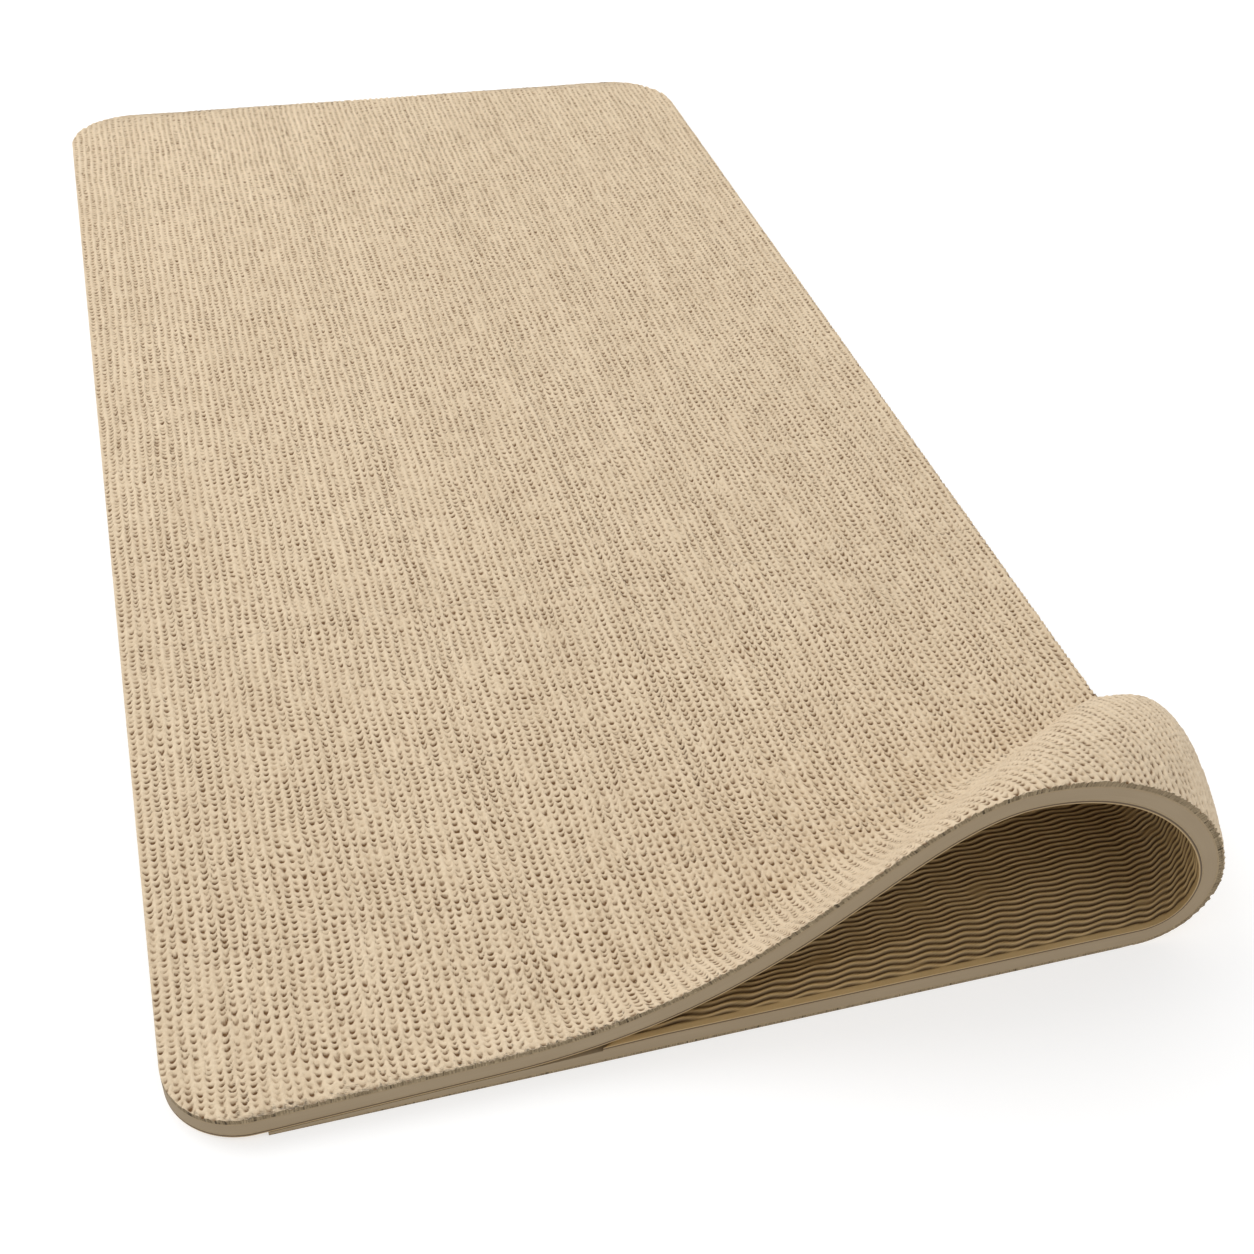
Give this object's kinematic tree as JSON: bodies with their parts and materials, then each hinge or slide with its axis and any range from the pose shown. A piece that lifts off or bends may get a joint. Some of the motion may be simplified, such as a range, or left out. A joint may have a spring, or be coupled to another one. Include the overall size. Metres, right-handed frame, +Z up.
{
  "type": "putting mat",
  "caption": "Soft laminated practice mat with a coarse knitted face and a ribbed grip base, its near right corner raised and curled under.",
  "frame": {"origin": "on the floor under the centre of the mat's bounding box", "axes": "+Z up out of the mat's face, +Y along its length, away from the curled end, so that the curl is at +X and -Y"},
  "size_m": [0.5, 0.96, 0.128],
  "materials": {
    "oatmeal_knit": "coarse rib knit in slubby undyed yarn, matt",
    "clear_adhesive": "thin hot-melt web, seen only as a line at the cut edge",
    "taupe_foam": "smooth closed-cell foam, matt",
    "golden_rubber": "wavy moulded ribs, satin"
  },
  "bodies": {
    "root": {"knit_face": "oatmeal_knit", "face_bond_film": "clear_adhesive", "cushion_core": "taupe_foam", "base_bond_film": "clear_adhesive", "grip_base": "golden_rubber"}
  },
  "joints": []
}
